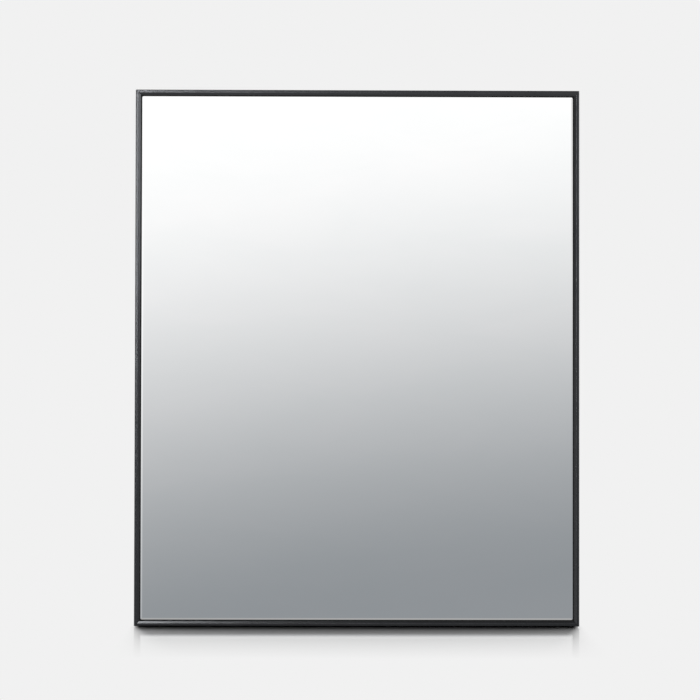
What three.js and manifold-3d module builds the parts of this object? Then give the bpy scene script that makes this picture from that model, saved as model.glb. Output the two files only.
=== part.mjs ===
// A wall-hung medicine cabinet with one mirrored door in a thin black aluminium frame.
// Millimetres, +Z up. X runs across the width, and Y from the door at -Y back to the wall at +Y.
// The origin is the centre of the base. The door hangs on a full-height piano hinge at its left edge.

import * as THREE from "three";
import { mergeVertices } from "three/addons/utils/BufferGeometryUtils.js";
import Module from "manifold-3d";

const wasm = await Module();
wasm.setup();

// Overall
const cabinetWidth = 506;
const cabinetHeight = 610;
const cabinetDepth = 130; // from the front of the door to the wall
const reveal = 1; // the body's outline stands past the door's by this much on every side

// Clearances
const seatGap = 0.3; // between two pieces that bear on each other
const mitreGap = 0.1; // from a mitred end to the corner's diagonal
const threadGap = 0.2; // round a screw's shank, where the thread would bite
const headGap = 0.05; // under a screw's head

// Body: four mitred hollow bars round a sheet back
const bodyBar = { thickness: 16, wall: 1.5, frontWall: 3, rim: 1.8 };
const wallRecess = 14.5; // room behind the body's step for the back panel and the hanging rails
const track = { neck: 4, width: 8, lip: 1.5, depth: 4.5, web: 1.5 }; // T slot for the shelf clips
const frontTrackInset = 18; // from the body's front face to the front track's centre
const rearTrackInset = 24; // from the interior mirror's face to the rear track's centre
const backPanelThickness = 1.5;
const interiorMirrorThickness = 4;
const bodyKeyLength = 50;

// Door: four mitred bars that hold a front mirror in a lipped groove, and a mirror inside
const doorThickness = 20;
const doorBar = { width: 27, wall: 1.5 };
const lip = { arris: 0.8, flat: 2.6, chamfer: 2.4, drop: 1.7, edge: 0.6 }; // from the outline in
const glass = { thickness: 4, edgeGap: 0.5 }; // edgeGap is from its edge to the bar's outer wall
const glassBevel = { show: 2, drop: 0.6 }; // show is the width seen inside the gasket
const gasket = { thickness: 0.8, show: 1.2 }; // show is how far it stands in past the lip
const innerMirror = { thickness: 3, recess: 3.2 }; // recess is from the door's back face
const ledge = { reach: 5, thickness: 1.5 };
const doorKeyLength = 60;

// Piano hinge
const barrelRadius = 2.3;
const leaf = { thickness: 1.1, width: 12, screwLine: 7.6 };
const hingePinRadius = 1.1;
const pinBoreGap = 0.25;
const knucklePairs = 8;
const knuckleGap = 0.4; // between neighbouring knuckles, and from a knuckle to the other leaf
const hingeEndInset = 4; // from the door's top and bottom edges to the hinge's ends
const hingeScrewRows = 4;
const nearScrewInset = 78; // from one end of the hinge to that leaf's first screw
const farScrewInset = 103; // from the other end, so that the two leaves' screws never face

// Shelves
const shelfThickness = 6;
const shelfFrontInset = 6; // from the body's front face
const shelfRearGap = 2; // to the interior mirror
const clip = { length: 12, back: 2, lower: 5, upper: 3, reach: 9 };
const lowerShelfDrop = 100; // from mid-height down to the lower shelf's underside
const upperShelfRise = 94; // from mid-height up to the upper shelf's underside

// Push latch, at mid-height on the side away from the hinge
const latch = { width: 11, length: 46, height: 20, setback: 1, boreDepth: 41 };
const plunger = { radius: 3.5, length: 21, wall: 0.6, nose: 4, boreGap: 0.4 };
const plungerStroke = 3;
const magnet = { radius: 4.2, thickness: 1.3 };
const spring = { wire: 0.35, turns: 7, radialGap: 0.3 };
const strike = { width: 9, height: 24, thickness: 0.7 };
const latchScrewInset = 8; // from the housing's front to its first screw
const latchScrewSpacing = 24;
const latchScrewOffset = 6.6; // above and below the plunger's axis

// Hanging rails
const rail = { thickness: 2, endMargin: 22, lip: 20, wallFlange: 22 }; // margin past the end screws
const railLipGap = 0.6; // between the two hooked lips
const wallHole = { radius: 2.75, spacing: 190, count: 3 };

// Screws
const hingeScrew = { head: 2.5, headHeight: 1.3, shank: 1.4, length: 7 };
const panelScrew = { head: 3.4, headHeight: 1.8, shank: 1.7, length: 11 };
const latchScrew = { head: 2.6, headHeight: 1.4, shank: 1.3, length: 15 };
const panelScrewInset = 9; // from the body's outline to the row of screws
const panelScrewMargin = 55; // from the body's corners to the outer screws of a row
const panelScrewCount = 3;
const driveSlot = { width: 0.8, depth: 0.7 };

const bumper = { radius: 4, cornerInset: 30 };

// Planes and edges that follow from the sizes above
const wallPlane = cabinetDepth / 2;
const doorFront = -cabinetDepth / 2;
const doorBack = doorFront + doorThickness;
const hingeGap = 2 * (barrelRadius + seatGap); // from the door's back to the body's front
const bodyFront = doorBack + hingeGap;
const bodyDepth = wallPlane - bodyFront;
const panelStep = bodyDepth - wallRecess; // depth in the body at which the back panel sits
const mirrorFace = panelStep - interiorMirrorThickness;
const trackDepths = [frontTrackInset, mirrorFace - rearTrackInset];
const trackReach = track.width / 2 + track.web;
const halfWidth = cabinetWidth / 2;
const midHeight = cabinetHeight / 2;
const innerSide = halfWidth - bodyBar.thickness; // the cabinet's clear opening
const innerTop = cabinetHeight - bodyBar.thickness;
const doorWidth = cabinetWidth - 2 * reveal;
const doorHeight = cabinetHeight - 2 * reveal;

const lipReach = lip.arris + lip.flat + lip.chamfer;
const lipBack = lip.drop + lip.edge; // these depths start at the door's front face
const gasketFront = lipBack + seatGap;
const glassFront = gasketFront + gasket.thickness + seatGap;
const glassEdge = doorBar.wall + glass.edgeGap;
const tubeFront = glassFront + glass.thickness + seatGap;
const innerMirrorBack = doorThickness - innerMirror.recess;
const innerMirrorFront = innerMirrorBack - innerMirror.thickness;
const ledgeBack = innerMirrorFront - seatGap;

const finish = {
  blackAnodised: { color: "#2b2c2e", roughness: 0.42, metalness: 0.7 },
  silveredGlass: { color: "#dfe4e6", roughness: 0.03, metalness: 1 },
  clearGlass: { color: "#cfe3dc", roughness: 0.05, metalness: 0 },
  blackRubber: { color: "#161617", roughness: 0.8, metalness: 0 },
  clearSilicone: { color: "#d9dcdb", roughness: 0.5, metalness: 0 },
  stainless: { color: "#b9bbbd", roughness: 0.3, metalness: 1 },
  zincPlate: { color: "#a9adaf", roughness: 0.4, metalness: 1 },
  castAluminium: { color: "#9a9c9e", roughness: 0.55, metalness: 0.9 },
  galvanised: { color: "#9fa4a6", roughness: 0.5, metalness: 0.9 },
  blackPlastic: { color: "#1f2022", roughness: 0.6, metalness: 0 },
  nickelMagnet: { color: "#c4c2bd", roughness: 0.25, metalness: 1 },
};

// ---- Helpers ----

// A closed geometry as a manifold-3d solid, without the flat triangles at a lathe's poles.
function solidOf(geometry) {
  const bare = geometry.index ? geometry.toNonIndexed() : geometry.clone();
  bare.deleteAttribute("normal");
  bare.deleteAttribute("uv");
  const merged = mergeVertices(bare, 1e-4);
  const index = merged.index.array;
  const triangles = [];
  for (let i = 0; i < index.length; i += 3) {
    const [a, b, c] = [index[i], index[i + 1], index[i + 2]];
    if (a !== b && b !== c && c !== a) {
      triangles.push(a, b, c);
    }
  }
  return new wasm.Manifold(
    new wasm.Mesh({
      numProp: 3,
      vertProperties: merged.attributes.position.array,
      triVerts: new Uint32Array(triangles),
    }),
  );
}

function geometryOf(solid) {
  const mesh = solid.getMesh();
  const geometry = new THREE.BufferGeometry();
  geometry.setAttribute("position", new THREE.BufferAttribute(mesh.vertProperties, 3));
  geometry.setIndex(new THREE.BufferAttribute(mesh.triVerts, 1));
  const faceted = geometry.toNonIndexed();
  faceted.computeVertexNormals();
  return faceted;
}

function cut(geometry, cutters) {
  const whole = solidOf(geometry);
  return geometryOf(cutters.reduce((solid, cutter) => solid.subtract(solidOf(cutter)), whole));
}

function join(geometries) {
  return geometryOf(geometries.map(solidOf).reduce((all, solid) => all.add(solid)));
}

function boxBetween(low, high) {
  const size = high.map((value, axis) => value - low[axis]);
  const centre = high.map((value, axis) => (value + low[axis]) / 2);
  return new THREE.BoxGeometry(...size).translate(...centre);
}

// A cylinder along "x", "y" or "z" between two places on that axis, through the point given.
function rod(axis, from, to, radius, [x, y, z], sides = 16) {
  const geometry = new THREE.CylinderGeometry(radius, radius, to - from, sides);
  const middle = (from + to) / 2;
  if (axis === "x") {
    return geometry.rotateZ(Math.PI / 2).translate(middle, y, z);
  }
  if (axis === "z") {
    return geometry.rotateX(Math.PI / 2).translate(x, y, middle);
  }
  return geometry.translate(x, middle, z);
}

// A turned solid round the Y axis. The points are [radius, distance along Y], from one end to the other.
function turned(points, sides) {
  return new THREE.LatheGeometry(
    points.map(([radius, along]) => new THREE.Vector2(radius, along)),
    sides,
  );
}

function shapeFrom(points) {
  return new THREE.Shape(points.map(([x, y]) => new THREE.Vector2(x, y)));
}

function rectanglePath(x0, y0, x1, y1) {
  const corners = [[x0, y0], [x1, y0], [x1, y1], [x0, y1]];
  return new THREE.Path(corners.map(([x, y]) => new THREE.Vector2(x, y)));
}

function extrude(shape, depth, curveSegments = 12) {
  return new THREE.ExtrudeGeometry(shape, { depth, curveSegments, bevelEnabled: false });
}

// A shape drawn in X and Z, extruded back along Y.
function extrudeBack(shape, from, to) {
  return extrude(shape, to - from).rotateX(Math.PI / 2).translate(0, to, 0);
}

function piece(name, geometry, look) {
  const mesh = new THREE.Mesh(geometry, new THREE.MeshStandardMaterial(look));
  mesh.name = name;
  return mesh;
}

function evenly(from, to, count) {
  return Array.from({ length: count }, (_, i) => from + ((to - from) * i) / (count - 1));
}

// A bar with both ends mitred at 45 degrees. The section's x is the distance in from the frame's
// outline and its y the depth from the front. The bar runs along z for its full outer length.
function mitredBar(section, length) {
  const geometry = extrude(section, length);
  const position = geometry.attributes.position;
  for (let i = 0; i < position.count; i += 1) {
    const setback = position.getX(i) + mitreGap;
    const atStart = position.getZ(i) < length / 2;
    position.setZ(i, atStart ? setback : length - setback);
  }
  geometry.computeVertexNormals();
  return geometry;
}

// Where a frame's four sides start, each running clockwise round it as seen from the front.
function frameSides(width, height, bottom) {
  return {
    left: [-width / 2, bottom, 0],
    top: [-width / 2, bottom + height, Math.PI / 2],
    right: [width / 2, bottom + height, Math.PI],
    bottom: [width / 2, bottom, -Math.PI / 2],
  };
}

function place(mesh, [x, z, turn], y) {
  mesh.position.set(x, y, z);
  mesh.rotation.y = turn;
  return mesh;
}

// An L-shaped key for each corner, inside the hollows of two mitred bars.
function cornerKeys(name, near, far, length, depths, sides) {
  const shape = shapeFrom([
    [near, near],
    [length, near],
    [length, far],
    [far, far],
    [far, length],
    [near, length],
  ]);
  const corners = { left: "bottom_left", top: "top_left", right: "top_right", bottom: "bottom_right" };
  return Object.entries(corners).map(([side, corner]) => {
    const geometry = extrudeBack(shape, ...depths);
    return place(piece(`${name}_${corner}`, geometry, finish.castAluminium), sides[side], 0);
  });
}

// A pan-head screw with its tip towards +Y and the underside of its head at y = 0.
function screwGeometry({ head, headHeight, shank, length }) {
  const tip = shank * 1.6;
  const blank = turned(
    [[0, -headHeight], [head * 0.72, -headHeight], [head, -headHeight * 0.45], [head, 0],
      [shank, 0], [shank, length - tip], [0, length]],
    10,
  );
  const arm = head * 0.6;
  const half = driveSlot.width / 2;
  const floor = driveSlot.depth - headHeight;
  return cut(blank, [
    boxBetween([-arm, -headHeight - 1, -half], [arm, floor, half]),
    boxBetween([-half, -headHeight - 1, -arm], [half, floor, arm]),
  ]);
}

// The way a screw's tip points, as a turn about Z from +Y.
const pointing = { back: 0, front: Math.PI, right: -Math.PI / 2 };

function screws(name, size, direction, places) {
  return places.map((at, index) => {
    const screw = piece(`${name}_${index + 1}`, screwGeometry(size), finish.zincPlate);
    screw.rotation.z = pointing[direction];
    screw.position.set(...at);
    return screw;
  });
}

function holeRadius(screw) {
  return screw.shank + threadGap;
}

// ---- Where the screws stand ----

const hingeX = -halfWidth + barrelRadius + seatGap;
const hingeY = doorBack + hingeGap / 2;
const hingeLength = doorHeight - 2 * hingeEndInset;
const hingeBottom = reveal + hingeEndInset;
const hingeTop = hingeBottom + hingeLength;
const hingeScrewX = hingeX + leaf.screwLine;
const bodyScrewHeights = evenly(hingeBottom + nearScrewInset, hingeTop - farScrewInset, hingeScrewRows);
const doorScrewHeights = evenly(hingeBottom + farScrewInset, hingeTop - nearScrewInset, hingeScrewRows);
const panelScrewAlong = evenly(panelScrewMargin, cabinetWidth - panelScrewMargin, panelScrewCount);

const latchRight = innerSide - seatGap;
const latchX = latchRight - latch.width / 2;
const latchFront = bodyFront + latch.setback;
const latchScrewSpots = [-1, 1].map((side, i) => ({
  y: latchFront + latchScrewInset + i * latchScrewSpacing,
  z: midHeight + side * latchScrewOffset,
}));

// ---- Body ----

// A body bar's section, with a T slot in its inner face at each track depth given.
function bodySection(tracks) {
  const { thickness, wall, frontWall, rim } = bodyBar;
  const outline = [[0, 0], [thickness, 0]];
  for (const centre of tracks) {
    const neck = track.neck / 2;
    const room = track.width / 2;
    const behindLip = thickness - track.lip;
    const floor = thickness - track.depth;
    outline.push([thickness, centre - neck], [behindLip, centre - neck], [behindLip, centre - room]);
    outline.push([floor, centre - room], [floor, centre + room], [behindLip, centre + room]);
    outline.push([behindLip, centre + neck], [thickness, centre + neck]);
  }
  outline.push([thickness, panelStep], [rim, panelStep], [rim, bodyDepth], [0, bodyDepth]);
  const section = shapeFrom(outline);
  const inner = thickness - wall;
  const behindTrack = tracks.length > 0 ? thickness - track.depth - track.web : inner;
  const [front, rear] = trackDepths;
  section.holes.push(
    rectanglePath(wall, frontWall, inner, front - trackReach),
    rectanglePath(wall, front - trackReach + wall, behindTrack, front + trackReach - wall),
    rectanglePath(wall, front + trackReach, inner, rear - trackReach),
    rectanglePath(wall, rear - trackReach + wall, behindTrack, rear + trackReach - wall),
    rectanglePath(wall, rear + trackReach, inner, panelStep - wall),
  );
  return section;
}

function leftSide() {
  const holes = bodyScrewHeights.map((z) =>
    rod("y", -1, bodyBar.frontWall + 1, holeRadius(hingeScrew), [hingeScrewX + halfWidth, 0, z]),
  );
  const bar = mitredBar(bodySection(trackDepths), cabinetHeight);
  return piece("left_side", cut(bar, holes), finish.blackAnodised);
}

// The right side is turned half round, so its own z runs down from the top.
function rightSide() {
  const from = bodyBar.thickness - bodyBar.wall - 1;
  const holes = latchScrewSpots.map(({ y, z }) =>
    rod("x", from, bodyBar.thickness + 1, holeRadius(latchScrew), [0, y - bodyFront, cabinetHeight - z]),
  );
  const bar = mitredBar(bodySection(trackDepths), cabinetHeight);
  return piece("right_side", cut(bar, holes), finish.blackAnodised);
}

function endBar(name) {
  const from = panelStep - bodyBar.wall - 1;
  const holes = panelScrewAlong.map((along) =>
    rod("y", from, panelStep + 1, holeRadius(panelScrew), [panelScrewInset, 0, along]),
  );
  return piece(name, cut(mitredBar(bodySection([]), cabinetWidth), holes), finish.blackAnodised);
}

function bodyFrame() {
  const sides = frameSides(cabinetWidth, cabinetHeight, 0);
  const [front, rear] = trackDepths;
  const keys = cornerKeys(
    "body_corner_key",
    bodyBar.wall + seatGap,
    bodyBar.thickness - bodyBar.wall - seatGap,
    bodyKeyLength,
    [bodyFront + front + trackReach + seatGap, bodyFront + rear - trackReach - seatGap],
    sides,
  );
  return [
    place(leftSide(), sides.left, bodyFront),
    place(rightSide(), sides.right, bodyFront),
    place(endBar("top_panel"), sides.top, bodyFront),
    place(endBar("bottom_panel"), sides.bottom, bodyFront),
    ...keys,
  ];
}

const panelFront = bodyFront + panelStep + seatGap;
const panelBack = panelFront + backPanelThickness;
const panelScrewXs = panelScrewAlong.map((along) => along - halfWidth);

function backPanel() {
  const low = bodyBar.rim + seatGap;
  const side = halfWidth - low;
  const rows = [panelScrewInset, cabinetHeight - panelScrewInset];
  const holes = rows.flatMap((z) =>
    panelScrewXs.map((x) => rod("y", panelFront - 1, panelBack + 1, holeRadius(panelScrew), [x, 0, z])),
  );
  const sheet = boxBetween([-side, panelFront, low], [side, panelBack, cabinetHeight - low]);
  return piece("back_panel", cut(sheet, holes), finish.galvanised);
}

function interiorMirror() {
  const side = innerSide - seatGap;
  const low = [-side, bodyFront + mirrorFace, bodyBar.thickness + seatGap];
  const high = [side, bodyFront + panelStep, innerTop - seatGap];
  return piece("interior_mirror", boxBetween(low, high), finish.silveredGlass);
}

// ---- Hanging rails: the cabinet's rail hooks down behind the upturned lip of the wall's rail ----

const railLength = cabinetWidth - 2 * panelScrewMargin + 2 * rail.endMargin;
const hangFront = panelBack + seatGap;
const hangBack = hangFront + rail.thickness;
const hangWebTop = innerTop;
const hangLipBack = wallPlane - rail.thickness - railLipGap;
const wallLipBack = hangLipBack - rail.thickness - railLipGap;

// A section drawn with the distance back as x and the height as y, run across the width.
function railBar(points) {
  const toRow = new THREE.Matrix4().makeBasis(
    new THREE.Vector3(0, 1, 0),
    new THREE.Vector3(0, 0, 1),
    new THREE.Vector3(1, 0, 0),
  );
  return extrude(shapeFrom(points), railLength).applyMatrix4(toRow).translate(-railLength / 2, 0, 0);
}

function hangingRail() {
  const top = cabinetHeight - bodyBar.rim - seatGap;
  const lipFront = hangLipBack - rail.thickness;
  const webUnder = hangWebTop - rail.thickness;
  const bar = railBar([
    [hangFront, webUnder],
    [lipFront, webUnder],
    [lipFront, hangWebTop - rail.lip],
    [hangLipBack, hangWebTop - rail.lip],
    [hangLipBack, hangWebTop],
    [hangBack, hangWebTop],
    [hangBack, top],
    [hangFront, top],
  ]);
  const z = cabinetHeight - panelScrewInset;
  const holes = panelScrewXs.map((x) =>
    rod("y", hangFront - 1, hangBack + 1, holeRadius(panelScrew), [x, 0, z]),
  );
  return piece("hanging_rail", cut(bar, holes), finish.galvanised);
}

function wallRail() {
  const lipTop = hangWebTop - rail.thickness - seatGap;
  const webTop = hangWebTop - rail.lip - railLipGap;
  const webUnder = webTop - rail.thickness;
  const flangeEnd = webUnder - rail.wallFlange;
  const wallFlangeFront = wallPlane - rail.thickness;
  const bar = railBar([
    [wallLipBack - rail.thickness, webUnder],
    [wallFlangeFront, webUnder],
    [wallFlangeFront, flangeEnd],
    [wallPlane, flangeEnd],
    [wallPlane, webTop],
    [wallLipBack, webTop],
    [wallLipBack, lipTop],
    [wallLipBack - rail.thickness, lipTop],
  ]);
  const reach = (wallHole.spacing * (wallHole.count - 1)) / 2;
  const z = webUnder - rail.wallFlange / 2;
  const holes = evenly(-reach, reach, wallHole.count).map((x) =>
    rod("y", wallFlangeFront - 1, wallPlane + 1, wallHole.radius, [x, 0, z]),
  );
  return piece("wall_rail", cut(bar, holes), finish.galvanised);
}

function panelScrews() {
  const top = panelScrewXs.map((x) => [x, hangBack + headGap, cabinetHeight - panelScrewInset]);
  const bottom = panelScrewXs.map((x) => [x, panelBack + headGap, panelScrewInset]);
  return [
    ...screws("top_panel_screw", panelScrew, "front", top),
    ...screws("bottom_panel_screw", panelScrew, "front", bottom),
  ];
}

// ---- Shelves ----

// A clip with its back to the wall at x = 0, its track at y = 0 and the shelf's underside at z = 0.
function clipGeometry() {
  const half = clip.length / 2;
  const low = -seatGap - clip.lower;
  const shelfTop = shelfThickness + seatGap;
  const high = shelfTop + clip.upper;
  const stem = track.neck / 2 - seatGap;
  const foot = track.width / 2 - seatGap;
  return join([
    boxBetween([seatGap, -half, low], [seatGap + clip.back, half, high]),
    boxBetween([seatGap, -half, low], [clip.reach, half, -seatGap]),
    boxBetween([seatGap, -half, shelfTop], [clip.reach, half, high]),
    boxBetween([-track.lip - seatGap - 1, -stem, low], [seatGap + 1, stem, high]),
    boxBetween([seatGap - track.depth, -foot, low], [-track.lip - seatGap, foot, high]),
  ]);
}

function shelf(name, underside) {
  const side = innerSide - clip.back - 2 * seatGap;
  const low = [-side, bodyFront + shelfFrontInset, underside];
  const high = [side, bodyFront + mirrorFace - shelfRearGap, underside + shelfThickness];
  const clips = [-1, 1].flatMap((side) =>
    trackDepths.map((depth, i) => {
      const where = `${side < 0 ? "left" : "right"}_${i === 0 ? "front" : "rear"}`;
      const holder = piece(`${name}_clip_${where}`, clipGeometry(), finish.zincPlate);
      holder.rotation.z = side < 0 ? 0 : Math.PI;
      holder.position.set(side * innerSide, bodyFront + depth, underside);
      return holder;
    }),
  );
  return [piece(name, boxBetween(low, high), finish.clearGlass), ...clips];
}

// ---- Push latch ----

const strikeBack = doorBack + seatGap + strike.thickness;
const magnetFront = strikeBack + seatGap;
const plungerFront = magnetFront + magnet.thickness + seatGap;
const plungerBore = plunger.radius - plunger.wall;
const latchBoreEnd = latchFront + latch.boreDepth;

function latchHousing() {
  const half = latch.height / 2;
  const block = boxBetween(
    [latchRight - latch.width, latchFront, midHeight - half],
    [latchRight, latchFront + latch.length, midHeight + half],
  );
  const boreRadius = plunger.radius + plunger.boreGap;
  const bore = rod("y", latchFront - 1, latchBoreEnd, boreRadius, [latchX, 0, midHeight], 20);
  const holes = latchScrewSpots.map(({ y, z }) =>
    rod("x", latchRight - latch.width - 1, latchRight + 1, holeRadius(latchScrew), [0, y, z]),
  );
  return piece("latch_housing", cut(block, [bore, ...holes]), finish.blackPlastic);
}

function latchPlunger() {
  const edge = 0.4;
  const body = turned(
    [[0, 0], [plunger.radius - edge, 0], [plunger.radius, edge], [plunger.radius, plunger.length],
      [plungerBore, plunger.length], [plungerBore, plunger.nose], [0, plunger.nose]],
    20,
  );
  return piece("latch_plunger", body.translate(latchX, plungerFront, midHeight), finish.blackPlastic);
}

function latchMagnet() {
  const back = magnetFront + magnet.thickness;
  const disc = rod("y", magnetFront, back, magnet.radius, [latchX, 0, midHeight], 20);
  return piece("latch_magnet", disc, finish.nickelMagnet);
}

class Coil extends THREE.Curve {
  constructor(radius, length, turns) {
    super();
    this.radius = radius;
    this.length = length;
    this.turns = turns;
  }

  getPoint(t, target = new THREE.Vector3()) {
    const angle = 2 * Math.PI * this.turns * t;
    return target.set(this.radius * Math.cos(angle), this.length * t, this.radius * Math.sin(angle));
  }
}

// The spring has its fully pressed length, so the plunger's stroke is free in front of it.
function latchSpring() {
  const front = plungerFront + plunger.nose + plungerStroke + seatGap + spring.wire;
  const length = latchBoreEnd - seatGap - spring.wire - front;
  const path = new Coil(plungerBore - spring.radialGap - spring.wire, length, spring.turns);
  const wire = new THREE.Shape().absarc(0, 0, spring.wire, 0, 2 * Math.PI);
  const steps = spring.turns * 8;
  const coil = new THREE.ExtrudeGeometry(wire, { steps, curveSegments: 4, extrudePath: path });
  return piece("latch_spring", coil.translate(latchX, front, midHeight), finish.stainless);
}

function strikePlate() {
  const plate = boxBetween(
    [latchX - strike.width / 2, strikeBack - strike.thickness, midHeight - strike.height / 2],
    [latchX + strike.width / 2, strikeBack, midHeight + strike.height / 2],
  );
  return piece("strike_plate", plate, finish.zincPlate);
}

function latchScrews() {
  const left = latchRight - latch.width - headGap;
  return screws("latch_screw", latchScrew, "right", latchScrewSpots.map(({ y, z }) => [left, y, z]));
}

// ---- Piano hinge ----

// A knuckle's section: a rolled barrel that runs into its leaf, which lies at -Y or +Y of the pin.
function knuckleSection(side) {
  const edge = barrelRadius - leaf.thickness;
  const root = side * Math.asin(edge / barrelRadius);
  const end = barrelRadius + knuckleGap + leaf.thickness;
  const section = new THREE.Shape();
  section.moveTo(0, side * barrelRadius);
  section.lineTo(end, side * barrelRadius);
  section.lineTo(end, side * edge);
  section.absarc(0, 0, barrelRadius, root, root - side * (Math.PI * 1.5 + Math.abs(root)), side > 0);
  section.holes.push(new THREE.Path().absarc(0, 0, hingePinRadius + pinBoreGap, 0, 2 * Math.PI));
  return section;
}

// side is -1 for the door's leaf, in front of the pin, and 1 for the body's leaf behind it.
function hingeLeaf(name, side, firstKnuckle, screwHeights) {
  const outer = hingeY + side * barrelRadius;
  const inner = outer - side * leaf.thickness;
  const [front, back] = side < 0 ? [outer, inner] : [inner, outer];
  const plate = boxBetween(
    [hingeX + barrelRadius + knuckleGap, front, hingeBottom],
    [hingeX + leaf.width, back, hingeTop],
  );
  const pitch = hingeLength / (2 * knucklePairs);
  const knuckles = Array.from({ length: knucklePairs }, (_, i) => {
    const start = hingeBottom + (2 * i + firstKnuckle) * pitch + knuckleGap / 2;
    return extrude(knuckleSection(side), pitch - knuckleGap, 10).translate(hingeX, hingeY, start);
  });
  const holes = screwHeights.map((z) =>
    rod("y", front - 1, back + 1, holeRadius(hingeScrew), [hingeScrewX, 0, z]),
  );
  return piece(name, cut(join([plate, ...knuckles]), holes), finish.stainless);
}

function hingePin() {
  const pin = rod("z", hingeBottom, hingeTop, hingePinRadius, [hingeX, hingeY, 0]);
  return piece("hinge_pin", pin, finish.stainless);
}

function hingePieces() {
  const doorHead = doorBack + seatGap + leaf.thickness + headGap;
  const bodyHead = bodyFront - seatGap - leaf.thickness - headGap;
  const doorSpots = doorScrewHeights.map((z) => [hingeScrewX, doorHead, z]);
  const bodySpots = bodyScrewHeights.map((z) => [hingeScrewX, bodyHead, z]);
  return [
    hingeLeaf("body_hinge_leaf", 1, 0, bodyScrewHeights),
    hingeLeaf("door_hinge_leaf", -1, 1, doorScrewHeights),
    hingePin(),
    ...screws("body_hinge_screw", hingeScrew, "back", bodySpots),
    ...screws("door_hinge_screw", hingeScrew, "front", doorSpots),
  ];
}

// ---- Door ----

function doorSection() {
  const { width, wall } = doorBar;
  const section = shapeFrom([
    [0, lip.arris],
    [lip.arris, 0],
    [lip.arris + lip.flat, 0],
    [lipReach, lip.drop],
    [lipReach, lipBack],
    [wall, lipBack],
    [wall, tubeFront],
    [width, tubeFront],
    [width, ledgeBack - ledge.thickness],
    [width + ledge.reach, ledgeBack - ledge.thickness],
    [width + ledge.reach, ledgeBack],
    [width, ledgeBack],
    [width, doorThickness],
    [0, doorThickness],
  ]);
  section.holes.push(rectanglePath(wall, tubeFront + wall, width - wall, doorThickness - wall));
  return section;
}

function doorBarPiece(name, length, holes = []) {
  const bar = mitredBar(doorSection(), length);
  return piece(name, holes.length > 0 ? cut(bar, holes) : bar, finish.blackAnodised);
}

function doorFrame() {
  const sides = frameSides(doorWidth, doorHeight, reveal);
  const u = hingeScrewX + doorWidth / 2;
  const holes = doorScrewHeights.map((z) =>
    rod("y", doorThickness - doorBar.wall - 1, doorThickness + 1, holeRadius(hingeScrew), [u, 0, z - reveal]),
  );
  const keys = cornerKeys(
    "door_corner_key",
    doorBar.wall + seatGap,
    doorBar.width - doorBar.wall - seatGap,
    doorKeyLength,
    [doorFront + tubeFront + doorBar.wall + seatGap, doorBack - doorBar.wall - seatGap],
    sides,
  );
  return [
    place(doorBarPiece("door_left_stile", doorHeight, holes), sides.left, doorFront),
    place(doorBarPiece("door_right_stile", doorHeight), sides.right, doorFront),
    place(doorBarPiece("door_top_rail", doorWidth), sides.top, doorFront),
    place(doorBarPiece("door_bottom_rail", doorWidth), sides.bottom, doorFront),
    ...keys,
  ];
}

// A box at a given distance in from the door's outline, between two depths from its front face.
function doorPanel(inset, front, back) {
  const side = doorWidth / 2 - inset;
  const bottom = reveal + inset;
  return boxBetween([-side, doorFront + front, bottom], [side, doorFront + back, cabinetHeight - bottom]);
}

function doorMirror() {
  const bevelWidth = lipReach + gasket.show + glassBevel.show - glassEdge;
  const slab = doorPanel(glassEdge, glassFront + glassBevel.drop, glassFront + glass.thickness);
  const bevel = doorPanel(glassEdge, glassFront, glassFront + glassBevel.drop);
  const position = bevel.attributes.position;
  for (let i = 0; i < position.count; i += 1) {
    if (position.getY(i) < doorFront + glassFront + glassBevel.drop / 2) {
      position.setX(i, position.getX(i) - Math.sign(position.getX(i)) * bevelWidth);
      position.setZ(i, position.getZ(i) - Math.sign(position.getZ(i) - midHeight) * bevelWidth);
    }
  }
  return piece("door_mirror", join([slab, bevel]), finish.silveredGlass);
}

function glazingGasket() {
  const corners = (inset) => {
    const side = doorWidth / 2 - inset;
    const bottom = reveal + inset;
    return [-side, bottom, side, cabinetHeight - bottom];
  };
  const [x0, z0, x1, z1] = corners(glassEdge);
  const ring = shapeFrom([[x0, z0], [x1, z0], [x1, z1], [x0, z1]]);
  ring.holes.push(rectanglePath(...corners(lipReach + gasket.show)));
  const front = doorFront + gasketFront;
  return piece("glazing_gasket", extrudeBack(ring, front, front + gasket.thickness), finish.blackRubber);
}

function innerDoorMirror() {
  const panel = doorPanel(doorBar.width + seatGap, innerMirrorFront, innerMirrorBack);
  return piece("inner_door_mirror", panel, finish.silveredGlass);
}

// Domed pads on the back of the door's free stile, which meet the body's front edge.
function doorBumpers() {
  const height = hingeGap - 2 * seatGap;
  const dome = evenly(0, Math.PI / 2, 5).map((angle) => [
    bumper.radius * Math.cos(angle),
    height - bumper.radius + bumper.radius * Math.sin(angle),
  ]);
  const x = halfWidth - bodyBar.thickness / 2;
  const heights = { lower: bumper.cornerInset, upper: cabinetHeight - bumper.cornerInset };
  return Object.entries(heights).map(([name, z]) => {
    const pad = turned([[0, 0], [bumper.radius, 0], ...dome.slice(0, -1), [0, height]], 16);
    return piece(`${name}_bumper`, pad.translate(x, doorBack + seatGap, z), finish.clearSilicone);
  });
}

// ---- The whole cabinet ----

const cabinet = new THREE.Group();
cabinet.add(
  ...bodyFrame(),
  backPanel(),
  interiorMirror(),
  hangingRail(),
  wallRail(),
  ...panelScrews(),
  ...shelf("lower_shelf", midHeight - lowerShelfDrop),
  ...shelf("upper_shelf", midHeight + upperShelfRise),
  latchHousing(),
  latchPlunger(),
  latchMagnet(),
  latchSpring(),
  ...latchScrews(),
);

const door = new THREE.Group();
door.add(
  ...doorFrame(),
  doorMirror(),
  glazingGasket(),
  innerDoorMirror(),
  strikePlate(),
  ...doorBumpers(),
);

const medicineCabinet = new THREE.Group();
medicineCabinet.add(cabinet, door, ...hingePieces());

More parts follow.
